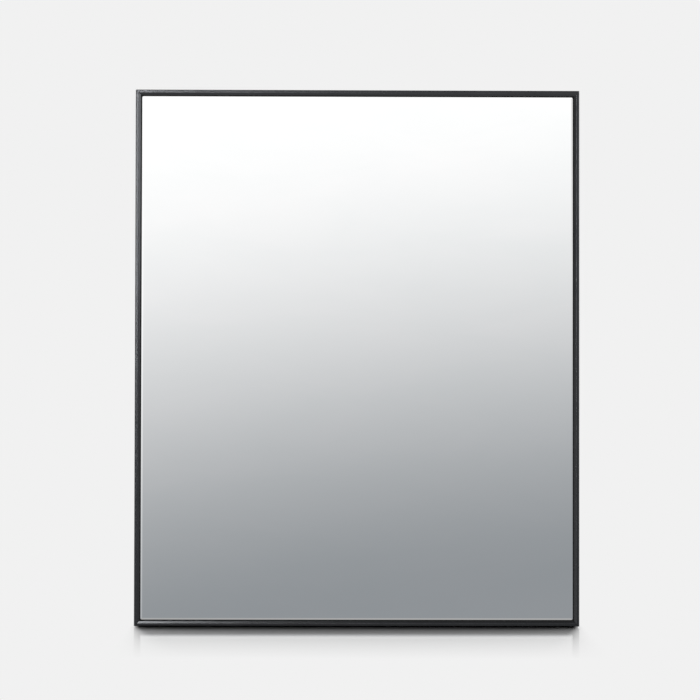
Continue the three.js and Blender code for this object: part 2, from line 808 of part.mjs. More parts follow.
export default medicineCabinet;
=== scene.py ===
import math

import bmesh
import bpy
from mathutils import Matrix, Vector
from mathutils.geometry import tessellate_polygon


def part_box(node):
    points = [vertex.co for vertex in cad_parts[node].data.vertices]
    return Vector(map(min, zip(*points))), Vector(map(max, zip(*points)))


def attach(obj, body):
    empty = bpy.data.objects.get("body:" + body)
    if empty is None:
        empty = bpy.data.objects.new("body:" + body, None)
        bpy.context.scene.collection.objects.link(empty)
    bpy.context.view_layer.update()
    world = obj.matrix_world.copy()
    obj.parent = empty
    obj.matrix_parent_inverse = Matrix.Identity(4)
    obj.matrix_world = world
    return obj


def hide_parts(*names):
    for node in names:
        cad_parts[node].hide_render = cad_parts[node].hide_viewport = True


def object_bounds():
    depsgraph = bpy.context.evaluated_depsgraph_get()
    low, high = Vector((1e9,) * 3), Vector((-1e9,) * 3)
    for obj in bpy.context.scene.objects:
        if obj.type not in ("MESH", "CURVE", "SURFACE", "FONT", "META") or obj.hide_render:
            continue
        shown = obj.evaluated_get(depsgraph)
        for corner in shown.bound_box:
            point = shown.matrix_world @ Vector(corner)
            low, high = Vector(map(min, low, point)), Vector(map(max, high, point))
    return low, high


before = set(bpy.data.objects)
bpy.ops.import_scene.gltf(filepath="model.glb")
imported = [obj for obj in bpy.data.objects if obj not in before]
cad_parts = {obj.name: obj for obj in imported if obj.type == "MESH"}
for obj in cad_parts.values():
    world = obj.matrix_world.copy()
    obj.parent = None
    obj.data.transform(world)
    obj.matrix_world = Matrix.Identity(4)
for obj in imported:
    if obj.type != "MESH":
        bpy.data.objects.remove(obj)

mm = 0.001  # the pieces' own sizes below are in millimetres, the studio's in metres and degrees
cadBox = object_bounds()
print("frame loaded:", len(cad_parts), "nodes")


# sRGB hex to a linear colour
def linear(hexColour):
    channels = [int(hexColour[i:i + 2], 16) / 255 for i in (1, 3, 5)]
    toned = [c / 12.92 if c <= 0.04045 else ((c + 0.055) / 1.055) ** 2.4 for c in channels]
    return (*toned, 1.0)


def addNode(tree, kind, settings=None, links=None):
    node = tree.nodes.new(kind)
    for key, value in (settings or {}).items():
        if isinstance(key, int) or key in node.inputs:
            node.inputs[key].default_value = value
        else:
            setattr(node, key, value)
    for key, source in (links or {}).items():
        tree.links.new(source, node.inputs[key])
    return node


# A finish is a shader with fixed settings and a noise pattern whose grains have real sizes in
# millimetres; the pattern drives its tones, its roughness and its relief (also in millimetres).
# "clouds" adds a second, wider noise, and "spangle" takes tones and roughness from crystals.
def makeFinish(name, recipe):
    material = bpy.data.materials.new(name)
    material.use_nodes = True
    tree = material.node_tree
    tree.nodes.clear()
    shader = addNode(
        tree, "ShaderNodeBsdfPrincipled",
        {"Metallic": recipe["metallic"], "IOR": recipe.get("ior", 1.5),
         "Transmission Weight": recipe.get("seeThrough", 0.0)},
    )
    addNode(tree, "ShaderNodeOutputMaterial", links={"Surface": shader.outputs[0]})
    if "along" in recipe:
        place = addNode(tree, "ShaderNodeUVMap", {"uv_map": recipe["along"]}).outputs[0]
    else:
        place = addNode(tree, "ShaderNodeTexCoord").outputs["Object"]
    layers = [(recipe["grain"], recipe["detail"], recipe.get("swirl", 0.0))]
    if "clouds" in recipe:
        layers.append(([recipe["clouds"]] * 3, 2.0, 0.0))
    noises = []
    for sizes, detail, swirl in layers:
        scaled = addNode(
            tree, "ShaderNodeMapping", {"Scale": [1 / (size * mm) for size in sizes]}, {"Vector": place}
        )
        noise = addNode(
            tree, "ShaderNodeTexNoise",
            {"Scale": 1.0, "Detail": detail, "Roughness": 0.55, "Distortion": swirl},
            {"Vector": scaled.outputs[0]},
        )
        noises.append(noise.outputs["Fac"])
    tonePattern = roughPattern = noises[0]
    if "clouds" in recipe:
        both = addNode(tree, "ShaderNodeMath", {"operation": "ADD"}, {0: noises[0], 1: noises[1]})
        half = addNode(tree, "ShaderNodeMath", {"operation": "MULTIPLY", 1: 0.5}, {0: both.outputs[0]})
        tonePattern = roughPattern = half.outputs[0]
    if "spangle" in recipe:
        crystals = addNode(
            tree, "ShaderNodeTexVoronoi", {"Scale": 1 / (recipe["spangle"] * mm)}, {"Vector": place}
        )
        greys = addNode(tree, "ShaderNodeSeparateColor", links={0: crystals.outputs["Color"]})
        tonePattern, roughPattern = greys.outputs[0], greys.outputs[1]
    low, high = (0.0, 1.0) if "spangle" in recipe else (0.3, 0.7)  # noise seldom leaves 0.3 to 0.7
    ramp = addNode(tree, "ShaderNodeValToRGB", links={"Fac": tonePattern})
    for stop, position, tone in zip(ramp.color_ramp.elements, (low, high), recipe["tones"]):
        stop.position = position
        stop.color = linear(tone)
    colour = ramp.outputs["Color"]
    if "arris" in recipe:
        edges = addNode(tree, "ShaderNodeAttribute", {"attribute_name": "arris"})
        wear = addNode(
            tree, "ShaderNodeMath", {"operation": "MULTIPLY"}, {0: edges.outputs["Fac"], 1: noises[-1]}
        )
        worn = addNode(
            tree, "ShaderNodeMix", {"data_type": "RGBA", 7: linear(recipe["arris"])},
            {0: wear.outputs[0], 6: colour},
        )
        colour = worn.outputs[2]
    tree.links.new(colour, shader.inputs["Base Color"])
    smooth, rough = recipe["roughness"]
    gloss = addNode(
        tree, "ShaderNodeMapRange",
        {"From Min": low, "From Max": high, "To Min": smooth, "To Max": rough}, {"Value": roughPattern},
    )
    tree.links.new(gloss.outputs[0], shader.inputs["Roughness"])
    if "relief" in recipe:
        bump = addNode(tree, "ShaderNodeBump", {"Distance": recipe["relief"] * mm}, {"Height": noises[0]})
        tree.links.new(bump.outputs[0], shader.inputs["Normal"])
    return material


recipes = {
    # Extruded, brushed along its length, anodised and dyed black: a dark satin skin with faint
    # streaks along each bar, and arrises a little paler where the dye is thin. The true brush
    # marks are about 0.05 mm wide; these are drawn at 1 mm so that they show.
    "blackAnodisedAluminium": {
        "metallic": 0.85, "along": "metres", "grain": (140, 1.0, 1), "detail": 2, "clouds": 70,
        "tones": ("#323335", "#3A3B3D"), "arris": "#505154", "roughness": (0.265, 0.295),
    },
    # Silvered float glass, polished: a near-perfect reflection, a touch cool, with the faintest
    # haze where it was wiped.
    "silveredGlass": {
        "metallic": 1.0, "grain": (160, 160, 60), "detail": 3, "swirl": 0.6,
        "tones": ("#EEEFEF", "#F1F1F1"), "roughness": (0.004, 0.016),
    },
    # Ground and polished glass edge: the green of the iron in the glass, seen through its depth.
    "polishedGlassEdge": {
        "metallic": 0.0, "ior": 1.52, "seeThrough": 0.55, "grain": (3, 3, 3), "detail": 4,
        "tones": ("#7AA494", "#88AF9F"), "roughness": (0.12, 0.18),
    },
    # Rolled-on protective paint on the back of a mirror: flat blue-grey with roller stipple.
    "mirrorBackPaint": {
        "metallic": 0.0, "grain": (1.5, 1.5, 1.5), "detail": 4,
        "tones": ("#5C6670", "#6B7680"), "roughness": (0.55, 0.65), "relief": 0.04,
    },
    # Clear float glass: seen by its reflections and a faint green in its thickness.
    "clearFloatGlass": {
        "metallic": 0.0, "ior": 1.52, "seeThrough": 1.0, "grain": (60, 60, 60), "detail": 3, "swirl": 0.4,
        "tones": ("#EAF5F0", "#F1F8F5"), "roughness": (0.0, 0.02),
    },
    # EPDM, extruded: dull black with a very fine grain.
    "epdmRubber": {
        "metallic": 0.0, "grain": (0.8, 0.8, 0.8), "detail": 4,
        "tones": ("#0E0E0F", "#1A1A1B"), "roughness": (0.65, 0.85), "relief": 0.02,
    },
    # Cast silicone pads: milky, soft, a little light through them.
    "siliconeRubber": {
        "metallic": 0.0, "ior": 1.41, "seeThrough": 0.5, "grain": (2, 2, 2), "detail": 3,
        "tones": ("#D9DDDC", "#ECEFEE"), "roughness": (0.32, 0.48),
    },
    # Stainless steel strip, rolled and brushed along its length: pale grey with long fine lines.
    # The true lines are about 0.05 mm wide, drawn at 0.25 mm so that they show.
    "brushedStainless": {
        "metallic": 1.0, "grain": (0.25, 0.25, 60), "detail": 4,
        "tones": ("#AEB0B2", "#C8C9CA"), "roughness": (0.24, 0.38), "relief": 0.005,
    },
    # Bright zinc plate on steel and zinc castings: bluish grey with soft cloudy patches.
    "zincPlate": {
        "metallic": 1.0, "grain": (4, 4, 4), "detail": 4, "swirl": 0.5,
        "tones": ("#A3A8AE", "#BFC3C7"), "roughness": (0.24, 0.42),
    },
    # Hot-dip galvanised sheet: flat frosted crystals, each with its own grey.
    "galvanisedSteel": {
        "metallic": 0.9, "grain": (0.8, 0.8, 0.8), "detail": 3, "spangle": 8,
        "tones": ("#949A9E", "#A5AAAD"), "roughness": (0.38, 0.55), "relief": 0.01,
    },
    # ABS, injection moulded against a spark-eroded tool: black with a fine even texture.
    "mouldedAbs": {
        "metallic": 0.0, "ior": 1.53, "grain": (0.25, 0.25, 0.25), "detail": 2,
        "tones": ("#17181A", "#222326"), "roughness": (0.48, 0.62), "relief": 0.03,
    },
    # Bright nickel on a sintered magnet: warm, mirror-like, with tiny pits.
    "nickelPlate": {
        "metallic": 1.0, "grain": (0.6, 0.6, 0.6), "detail": 3,
        "tones": ("#B9B4AB", "#CFCBC3"), "roughness": (0.10, 0.24),
    },
    # Die-cast aluminium: pale grey, slightly mottled from the die's lubricant.
    "dieCastAluminium": {
        "metallic": 0.95, "grain": (5, 5, 5), "detail": 4,
        "tones": ("#8E9092", "#A8AAAC"), "roughness": (0.42, 0.60),
    },
}
finishes = {name: makeFinish(name, recipe) for name, recipe in recipes.items()}
print("materials made:", len(finishes))


smallest = 0.001 * mm  # anything shorter is nothing
edgeShare = 0.45  # a rounding takes at most this much of the edges beside it


# An outline with its corners rounded; each point is (x, y) or (x, y, radius in mm). The third
# value of each new point says whether the face that starts there belongs to a rounding.
def roundedLoop(points, radius, steps=3):
    loop = []
    for i, point in enumerate(points):
        corner = Vector(point[:2])
        before = Vector(points[i - 1][:2]) - corner
        after = Vector(points[(i + 1) % len(points)][:2]) - corner
        size = (point[2] if len(point) > 2 else radius) * mm
        reach = min(size, before.length * edgeShare, after.length * edgeShare)
        if reach < smallest:
            loop.append((corner.x, corner.y, False))
            continue
        first = corner + before.normalized() * reach
        last = corner + after.normalized() * reach
        for k in range(steps + 1):
            t = k / steps
            spot = first * (1 - t) ** 2 + corner * 2 * t * (1 - t) + last * t ** 2
            loop.append((spot.x, spot.y, k < steps))
    return loop


def circleLoop(x, y, radius, sides=32):
    turns = [2 * math.pi * k / sides for k in range(sides)]
    return [(x + radius * math.cos(a), y + radius * math.sin(a), False) for a in turns]


def rectangle(x0, y0, x1, y1):
    return [(x0, y0), (x1, y0), (x1, y1), (x0, y1)]


# Runs a section (an outer loop, then any holes) along z. A mitre of None leaves square ends;
# a number is the gap kept to the corner's diagonal.
def sectionMesh(bm, loops, start, end, mitre=None):
    uvLayer = bm.loops.layers.uv.get("metres") or bm.loops.layers.uv.new("metres")
    arris = bm.faces.layers.float.get("arris") or bm.faces.layers.float.new("arris")
    rings = []
    for loop in loops:
        low, high = [], []
        for x, y, _ in loop:
            inset = 0 if mitre is None else x + mitre
            low.append(bm.verts.new((x, y, start + inset)))
            high.append(bm.verts.new((x, y, end - inset)))
        rings.append((low, high))
        along = 0.0
        for i in range(len(loop)):
            j = (i + 1) % len(loop)
            step = math.dist(loop[i][:2], loop[j][:2])
            face = bm.faces.new((low[i], low[j], high[j], high[i]))
            face[arris] = 1.0 if loop[i][2] else 0.0
            spots = ((low[i], along), (low[j], along + step), (high[j], along + step), (high[i], along))
            for corner, (vert, girth) in zip(face.loops, spots):
                corner[uvLayer].uv = (vert.co.z, girth)
            along += step
    flat = [[Vector((x, y, 0)) for x, y, _ in loop] for loop in loops]
    triangles = tessellate_polygon(flat)
    for side in (0, 1):
        verts = [vert for pair in rings for vert in pair[side]]
        for triangle in triangles:
            bm.faces.new([verts[k] for k in triangle])


def meshPiece(name, bm, material, matrix=None, weighted=True):
    bmesh.ops.recalc_face_normals(bm, faces=bm.faces)
    mesh = bpy.data.meshes.new(name)
    bm.to_mesh(mesh)
    bm.free()
    if matrix is not None:
        mesh.transform(matrix)
        if matrix.determinant() < 0:
            mesh.flip_normals()
    piece = bpy.data.objects.new(name, mesh)
    bpy.context.scene.collection.objects.link(piece)
    mesh.materials.append(material)
    if weighted:
        smoothed(piece)
    return piece


# bakes a piece's modifiers into its mesh
def settled(piece):
    graph = bpy.context.evaluated_depsgraph_get()
    mesh = bpy.data.meshes.new_from_object(piece.evaluated_get(graph))
    piece.modifiers.clear()
    piece.data = mesh
    return piece


# smooth round its arrises and flat on its faces
def smoothed(piece, angle=40):
    mesh = piece.data
    mesh.polygons.foreach_set("use_smooth", [True] * len(mesh.polygons))
    mesh.set_sharp_from_angle(angle=math.radians(angle))
    weights = piece.modifiers.new("weights", "WEIGHTED_NORMAL")
    weights.keep_sharp = True
    return settled(piece)


def mounted(piece, body, slot, *replaced):
    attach(piece, body)
    if replaced:
        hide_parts(*replaced)
    return piece


# A copy of a CAD node's shape with its sharp edges rounded as tumbling or folding leaves them.
def softened(node, width, material, body, slot, steps=2):
    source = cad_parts[node]
    bm = bmesh.new()
    bm.from_mesh(source.data)
    bmesh.ops.remove_doubles(bm, verts=bm.verts, dist=smallest)
    bmesh.ops.dissolve_limit(bm, angle_limit=math.radians(1), verts=bm.verts, edges=bm.edges)
    piece = meshPiece(f"{node}.soft", bm, material, weighted=False)
    bevel = piece.modifiers.new("bevel", "BEVEL")
    bevel.width = width * mm
    bevel.segments = steps
    bevel.limit_method = "ANGLE"
    bevel.angle_limit = math.radians(35)
    settled(piece)
    smoothed(piece)
    return mounted(piece, body, slot, node)


# A solid of revolution: the profile is (radius, distance) pairs in metres along the axis.
def turnedMesh(bm, profile, sides=40):
    rings = []
    for radius, along in profile:
        if radius < smallest:
            rings.append([bm.verts.new((0, 0, along))])
        else:
            rings.append([bm.verts.new((x, y, along)) for x, y, _ in circleLoop(0, 0, radius, sides)])
    for first, second in zip(rings, rings[1:]):
        for k in range(sides):
            n = (k + 1) % sides
            near = [first[k % len(first)], first[n % len(first)]]
            far = [second[n % len(second)], second[k % len(second)]]
            unique = list(dict.fromkeys(near + far))  # a ring on the axis is one point
            if len(unique) > 2:
                bm.faces.new(unique)


def arc(centreRadius, centreAlong, radius, fromDegrees, toDegrees, steps=6):
    turns = [math.radians(fromDegrees + (toDegrees - fromDegrees) * k / steps) for k in range(steps + 1)]
    return [(centreRadius + radius * math.cos(a), centreAlong + radius * math.sin(a)) for a in turns]


# profile of a rod whose two ends have rounded edges
def roundedRod(radius, length, edge):
    near = arc(radius - edge, edge, edge, -90, 0)
    far = arc(radius - edge, length - edge, edge, 0, 90)
    return [(0, 0), *near, *far, (0, length)]


def middle(node):
    low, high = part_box(node)
    return (low + high) / 2


# local z runs along the row's Y, so that the piece's start faces the front
alongY = Matrix.Rotation(math.radians(-90), 4, "X")


# the four sides of a mitred frame, each running clockwise round it as seen from the front
def frameSides(x0, x1, z0, z1, front):
    return {
        "left": Matrix.Translation((x0, front, z0)),
        "top": Matrix.Translation((x0, front, z1)) @ Matrix.Rotation(math.radians(90), 4, "Y"),
        "right": Matrix.Translation((x1, front, z1)) @ Matrix.Rotation(math.radians(180), 4, "Y"),
        "bottom": Matrix.Translation((x1, front, z0)) @ Matrix.Rotation(math.radians(-90), 4, "Y"),
    }


mitreGap = 0.1  # mm from a mitred end to the corner's diagonal
restGap = 0.3  # mm between a bar and the pane that rests on it
hollowRound = 0.4  # mm, the corners of a bar's hollow


def bar(name, loops, length, matrix, body, node):
    bm = bmesh.new()
    sectionMesh(bm, loops, 0, length, mitreGap * mm)
    piece = meshPiece(name, bm, finishes["blackAnodisedAluminium"], matrix)
    return mounted(piece, body, "anodised_frame", node)


# the lowest and highest corners of a frame of four bars
def frameBox(left, right, bottom, top):
    low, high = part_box(left)
    return (
        Vector((low.x, low.y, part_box(bottom)[0].z)),
        Vector((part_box(right)[1].x, high.y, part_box(top)[1].z)),
    )


doorBar = {
    "width": 27, "wall": 1.5, "arris": 0.8, "flat": 2.6, "chamfer": 2.4, "drop": 1.7, "lipEdge": 0.6,
    "ledgeReach": 5, "ledgeThickness": 1.5, "round": 0.25,
}


def doorLoops(glassBack, ledgeBack, thickness):
    arris, wall, width = doorBar["arris"], doorBar["wall"], doorBar["width"]
    flatEnd = arris + doorBar["flat"]
    lipReach = flatEnd + doorBar["chamfer"]
    lipBack = doorBar["drop"] + doorBar["lipEdge"]
    tube = glassBack + restGap
    ledgeFront = ledgeBack - doorBar["ledgeThickness"]
    ledgeEnd = width + doorBar["ledgeReach"]
    outline = [(0, arris), (arris, 0), (flatEnd, 0), (lipReach, doorBar["drop"])]
    outline += [(lipReach, lipBack), (wall, lipBack), (wall, tube), (width, tube)]
    outline += [(width, ledgeFront), (ledgeEnd, ledgeFront), (ledgeEnd, ledgeBack), (width, ledgeBack)]
    outline += [(width, thickness), (0, thickness)]
    hollow = rectangle(wall, tube + wall, width - wall, thickness - wall)
    outer = [(x * mm, y * mm) for x, y in outline]
    inner = [(x * mm, y * mm) for x, y in hollow]
    return [roundedLoop(outer, doorBar["round"]), roundedLoop(inner, hollowRound, 2)]


doorLow, doorHigh = frameBox("door_left_stile", "door_right_stile", "door_bottom_rail", "door_top_rail")
doorWidth, doorHeight = doorHigh.x - doorLow.x, doorHigh.z - doorLow.z
doorSection = doorLoops(
    (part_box("door_mirror")[1].y - doorLow.y) / mm,
    (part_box("inner_door_mirror")[0].y - doorLow.y) / mm - restGap,
    (doorHigh.y - doorLow.y) / mm,
)
doorSides = frameSides(doorLow.x, doorHigh.x, doorLow.z, doorHigh.z, doorLow.y)
doorBars = [
    bar("doorLeftStile", doorSection, doorHeight, doorSides["left"], "door", "door_left_stile"),
    bar("doorTopRail", doorSection, doorWidth, doorSides["top"], "door", "door_top_rail"),
    bar("doorRightStile", doorSection, doorHeight, doorSides["right"], "door", "door_right_stile"),
    bar("doorBottomRail", doorSection, doorWidth, doorSides["bottom"], "door", "door_bottom_rail"),
]
print("door frame made")


bodyBar = {
    "thickness": 16, "wall": 1.5, "frontWall": 3, "rim": 1.8, "round": 0.3,
    "neck": 4, "slotWidth": 8, "slotLip": 1.5, "slotDepth": 4.5, "web": 1.5,
}


def bodyLoops(depth, step, tracks, slotted):
    thickness, wall, rim = bodyBar["thickness"], bodyBar["wall"], bodyBar["rim"]
    neck, room = bodyBar["neck"] / 2, bodyBar["slotWidth"] / 2
    behind, floor = thickness - bodyBar["slotLip"], thickness - bodyBar["slotDepth"]
    outline = [(0, 0), (thickness, 0)]
    for centre in tracks if slotted else []:
        outline += [(thickness, centre - neck), (behind, centre - neck), (behind, centre - room)]
        outline += [(floor, centre - room), (floor, centre + room), (behind, centre + room)]
        outline += [(behind, centre + neck), (thickness, centre + neck)]
    outline += [(thickness, step), (rim, step), (rim, depth), (0, depth)]
    reach = room + bodyBar["web"]
    inner = thickness - wall
    behindSlot = floor - bodyBar["web"] if slotted else inner
    front, rear = tracks
    hollows = [
        rectangle(wall, bodyBar["frontWall"], inner, front - reach),
        rectangle(wall, front - reach + wall, behindSlot, front + reach - wall),
        rectangle(wall, front + reach, inner, rear - reach),
        rectangle(wall, rear - reach + wall, behindSlot, rear + reach - wall),
        rectangle(wall, rear + reach, inner, step - wall),
    ]
    loops = [roundedLoop([(x * mm, y * mm) for x, y in outline], bodyBar["round"], 2)]
    loops += [roundedLoop([(x * mm, y * mm) for x, y in hollow], 0.0) for hollow in hollows]
    return loops


bodyLow, bodyHigh = frameBox("left_side", "right_side", "bottom_panel", "top_panel")
bodyWidth, bodyHeight = bodyHigh.x - bodyLow.x, bodyHigh.z - bodyLow.z
bodyDepth = (bodyHigh.y - bodyLow.y) / mm
stepDepth = (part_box("interior_mirror")[1].y - bodyLow.y) / mm
trackDepths = [(middle(f"lower_shelf_clip_left_{end}").y - bodyLow.y) / mm for end in ("front", "rear")]
slotted = bodyLoops(bodyDepth, stepDepth, trackDepths, True)
plain = bodyLoops(bodyDepth, stepDepth, trackDepths, False)
bodySides = frameSides(bodyLow.x, bodyHigh.x, bodyLow.z, bodyHigh.z, bodyLow.y)
bar("leftSide", slotted, bodyHeight, bodySides["left"], "cabinet", "left_side")
bar("rightSide", slotted, bodyHeight, bodySides["right"], "cabinet", "right_side")
bar("topPanel", plain, bodyWidth, bodySides["top"], "cabinet", "top_panel")
bar("bottomPanel", plain, bodyWidth, bodySides["bottom"], "cabinet", "bottom_panel")

sheetRound = {"back_panel": (0.2, 2), "hanging_rail": (0.6, 3), "wall_rail": (0.6, 3)}  # mm and steps
for node, (width, steps) in sheetRound.items():
    softened(node, width, finishes["galvanisedSteel"], "cabinet", "galvanised_sheet", steps)
print("cabinet body made")


pane = {"arris": 0.4, "bevelShow": 2.0, "bevelDrop": 0.6}
gasket = {"show": 1.2, "bead": 0.35, "corner": 2.0}  # width seen, edge and inner corners rounded, mm


# A mirror with a polished bevel of the given width and drop on its bright side, which faces
# -Y or +Y. The silver, the ground edge and the painted back each have their own finish.
def mirrorPane(name, node, facing, bevelWidth, bevelDrop, body):
    low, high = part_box(node)
    bright, dull = (low.y, high.y) if facing < 0 else (high.y, low.y)
    inward = 1 if facing < 0 else -1
    arris = pane["arris"] * mm
    levels = [
        (bright, bevelWidth),
        (bright + inward * bevelDrop, 0.0),
        (dull - inward * arris, 0.0),
        (dull, arris),
    ]
    bm = bmesh.new()
    rings = []
    for y, inset in levels:
        corners = rectangle(low.x + inset, low.z + inset, high.x - inset, high.z - inset)
        rings.append([bm.verts.new((x, y, z)) for x, z in corners])
    bm.faces.new(rings[0]).material_index = 0
    bm.faces.new(rings[-1]).material_index = 2
    for level, (first, second) in enumerate(zip(rings, rings[1:])):
        for k in range(4):
            n = (k + 1) % 4
            face = bm.faces.new((first[k], first[n], second[n], second[k]))
            face.material_index = 0 if level == 0 and bevelWidth > arris else 1
    piece = meshPiece(name, bm, finishes["silveredGlass"], weighted=False)
    piece.data.materials.append(finishes["polishedGlassEdge"])
    piece.data.materials.append(finishes["mirrorBackPaint"])
    return mounted(piece, body, "silvered_mirror", node)


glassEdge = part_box("door_mirror")[0].x
gasketEdge = doorLow.x + (doorBar["arris"] + doorBar["flat"] + doorBar["chamfer"] + gasket["show"]) * mm
frontBevel = gasketEdge + pane["bevelShow"] * mm - glassEdge
plainEdge = pane["arris"] * mm
mirrorPane("doorMirror", "door_mirror", -1, frontBevel, pane["bevelDrop"] * mm, "door")
mirrorPane("innerDoorMirror", "inner_door_mirror", 1, plainEdge, plainEdge, "door")
mirrorPane("interiorMirror", "interior_mirror", -1, plainEdge, plainEdge, "cabinet")
print("mirrors made")


def glazingGasket():
    low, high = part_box("glazing_gasket")
    width = gasketEdge - low.x
    depth = high.y - low.y
    section = roundedLoop([(0, 0, 0), (width, 0), (width, depth), (0, depth, 0)], gasket["bead"], 3)
    outerCorner = 0.05  # nearly sharp, but with as many points as the inner corners
    bm = bmesh.new()
    rings = []
    for inset, y, _ in section:
        corners = rectangle(low.x + inset, low.z + inset, high.x - inset, high.z - inset)
        loop = roundedLoop(corners, outerCorner + gasket["corner"] * inset / width, 6)
        rings.append([bm.verts.new((x, low.y + y, z)) for x, z, _ in loop])
    for first, second in zip(rings, rings[1:] + rings[:1]):
        for k in range(len(first)):
            n = (k + 1) % len(first)
            bm.faces.new((first[k], first[n], second[n], second[k]))
    piece = meshPiece("glazingGasket", bm, finishes["epdmRubber"])
    return mounted(piece, "door", "black_rubber", "glazing_gasket")


glazingGasket()


shelfGlass = {"arris": 0.8, "corner": 2.0, "clipRound": 0.5}  # mm


def glassShelf(node):
    low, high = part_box(node)
    arris = shelfGlass["arris"] * mm
    bm = bmesh.new()
    rings = []
    levels = [(low.z, arris), (low.z + arris, 0), (high.z - arris, 0), (high.z, arris)]
    for z, inset in levels:
        corners = rectangle(low.x + inset, low.y + inset, high.x - inset, high.y - inset)
        loop = roundedLoop(corners, shelfGlass["corner"], 5)
        rings.append([bm.verts.new((x, y, z)) for x, y, _ in loop])
    bm.faces.new(rings[0])
    bm.faces.new(rings[-1])
    for first, second in zip(rings, rings[1:]):
        for k in range(len(first)):
            n = (k + 1) % len(first)
            bm.faces.new((first[k], first[n], second[n], second[k])).material_index = 1
    piece = meshPiece(f"{node}.glass", bm, finishes["clearFloatGlass"])
    piece.data.materials.append(finishes["polishedGlassEdge"])
    return mounted(piece, "cabinet", "shelf_glass", node)


for shelf in ("lower_shelf", "upper_shelf"):
    glassShelf(shelf)
    for side in ("left", "right"):
        for end in ("front", "rear"):
            clip = f"{shelf}_clip_{side}_{end}"
            softened(clip, shelfGlass["clipRound"], finishes["zincPlate"], "cabinet", "zinc_fasteners", 3)
print("shelves made")


latch = {
    "housingRound": 0.5, "strikeRound": 0.2, "noseRound": 0.5, "magnetRound": 0.3,
    "plungerRadius": 3.5, "plungerWall": 0.6, "nose": 4,
}


def latchPlunger():
    low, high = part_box("latch_plunger")
    radius, length = latch["plungerRadius"] * mm, high.y - low.y
    bore, nose, edge = radius - latch["plungerWall"] * mm, latch["nose"] * mm, latch["noseRound"] * mm
    profile = [(0, 0)] + arc(radius - edge, edge, edge, -90, 0)
    profile += [(radius, length), (bore, length), (bore, nose), (0, nose)]
    bm = bmesh.new()
    turnedMesh(bm, profile)
    spot = middle("latch_plunger")
    matrix = Matrix.Translation((spot.x, low.y, spot.z)) @ alongY
    piece = meshPiece("latchPlunger", bm, finishes["mouldedAbs"], matrix)
    return mounted(piece, "push_button", "latch_plastic", "latch_plunger")


def latchMagnet():
    low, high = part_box("latch_magnet")
    bm = bmesh.new()
    turnedMesh(bm, roundedRod((high.x - low.x) / 2, high.y - low.y, latch["magnetRound"] * mm))
    spot = middle("latch_magnet")
    matrix = Matrix.Translation((spot.x, low.y, spot.z)) @ alongY
    piece = meshPiece("latchMagnet", bm, finishes["nickelPlate"], matrix)
    return mounted(piece, "push_button", "nickel_magnet", "latch_magnet")


softened("latch_housing", latch["housingRound"], finishes["mouldedAbs"], "cabinet", "latch_plastic", 3)
softened("strike_plate", latch["strikeRound"], finishes["zincPlate"], "door", "zinc_fasteners")
latchPlunger()
latchMagnet()


hinge = {
    "leafThickness": 1.1, "barrel": 2.3, "bore": 1.35, "knuckleGap": 0.4, "pairs": 8,
    "hole": 1.6, "cornerRound": 1.0, "pinRound": 0.4,
}


def knuckleLoops(side):
    radius = hinge["barrel"] * mm
    edge = radius - hinge["leafThickness"] * mm
    tail = radius + hinge["knuckleGap"] * mm
    root = math.asin(edge / radius)
    outline = [(0, side * radius, False), (tail, side * radius, False), (tail, side * edge, False)]
    steps = 28
    for k in range(steps):
        angle = root - (1.5 * math.pi + root) * k / steps
        outline.append((radius * math.cos(angle), side * radius * math.sin(angle), False))
    return [outline, circleLoop(0, 0, hinge["bore"] * mm, steps)]


# side is -1 for the door's leaf, in front of the pin, and 1 for the body's leaf behind it; the
# first knuckle of a leaf is number 0 or 1 from the bottom
def hingeLeaf(name, node, side, body, first, screwNodes):
    low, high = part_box(node)
    pinSpot = middle("hinge_pin")
    plateLow = pinSpot.x + (hinge["barrel"] + hinge["knuckleGap"]) * mm
    outer = pinSpot.y + side * hinge["barrel"] * mm
    inner = outer - side * hinge["leafThickness"] * mm
    bm = bmesh.new()
    plate = roundedLoop(rectangle(plateLow, low.z, high.x, high.z), hinge["cornerRound"], 4)
    holes = [circleLoop(middle(screw).x, middle(screw).z, hinge["hole"] * mm) for screw in screwNodes]
    sectionMesh(bm, [plate, *holes], min(outer, inner), max(outer, inner))
    bm.transform(Matrix(((1, 0, 0, 0), (0, 0, 1, 0), (0, 1, 0, 0), (0, 0, 0, 1))))  # swaps Y and Z
    pinLow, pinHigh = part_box("hinge_pin")
    pitch = (pinHigh.z - pinLow.z) / (2 * hinge["pairs"])
    gap = hinge["knuckleGap"] * mm
    knuckles = bmesh.new()
    for i in range(hinge["pairs"]):
        start = pinLow.z + (2 * i + first) * pitch + gap / 2
        sectionMesh(knuckles, knuckleLoops(side), start, start + pitch - gap)
    knuckles.transform(Matrix.Translation((pinSpot.x, pinSpot.y, 0)))
    rolled = bpy.data.meshes.new("rolled")
    knuckles.to_mesh(rolled)
    knuckles.free()
    bm.from_mesh(rolled)
    bpy.data.meshes.remove(rolled)
    return mounted(meshPiece(name, bm, finishes["brushedStainless"]), body, "stainless_hinge", node)


def hingePin():
    low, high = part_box("hinge_pin")
    bm = bmesh.new()
    turnedMesh(bm, roundedRod((high.x - low.x) / 2, high.z - low.z, hinge["pinRound"] * mm), 24)
    spot = middle("hinge_pin")
    matrix = Matrix.Translation((spot.x, spot.y, low.z))
    piece = meshPiece("hingePin", bm, finishes["brushedStainless"], matrix)
    return mounted(piece, "cabinet", "stainless_hinge", "hinge_pin")


bodyHingeScrews = [f"body_hinge_screw_{i}" for i in range(1, 5)]
doorHingeScrews = [f"door_hinge_screw_{i}" for i in range(1, 5)]
hingeLeaf("bodyHingeLeaf", "body_hinge_leaf", 1, "cabinet", 0, bodyHingeScrews)
hingeLeaf("doorHingeLeaf", "door_hinge_leaf", -1, "door", 1, doorHingeScrews)
hingePin()
print("hinge made")


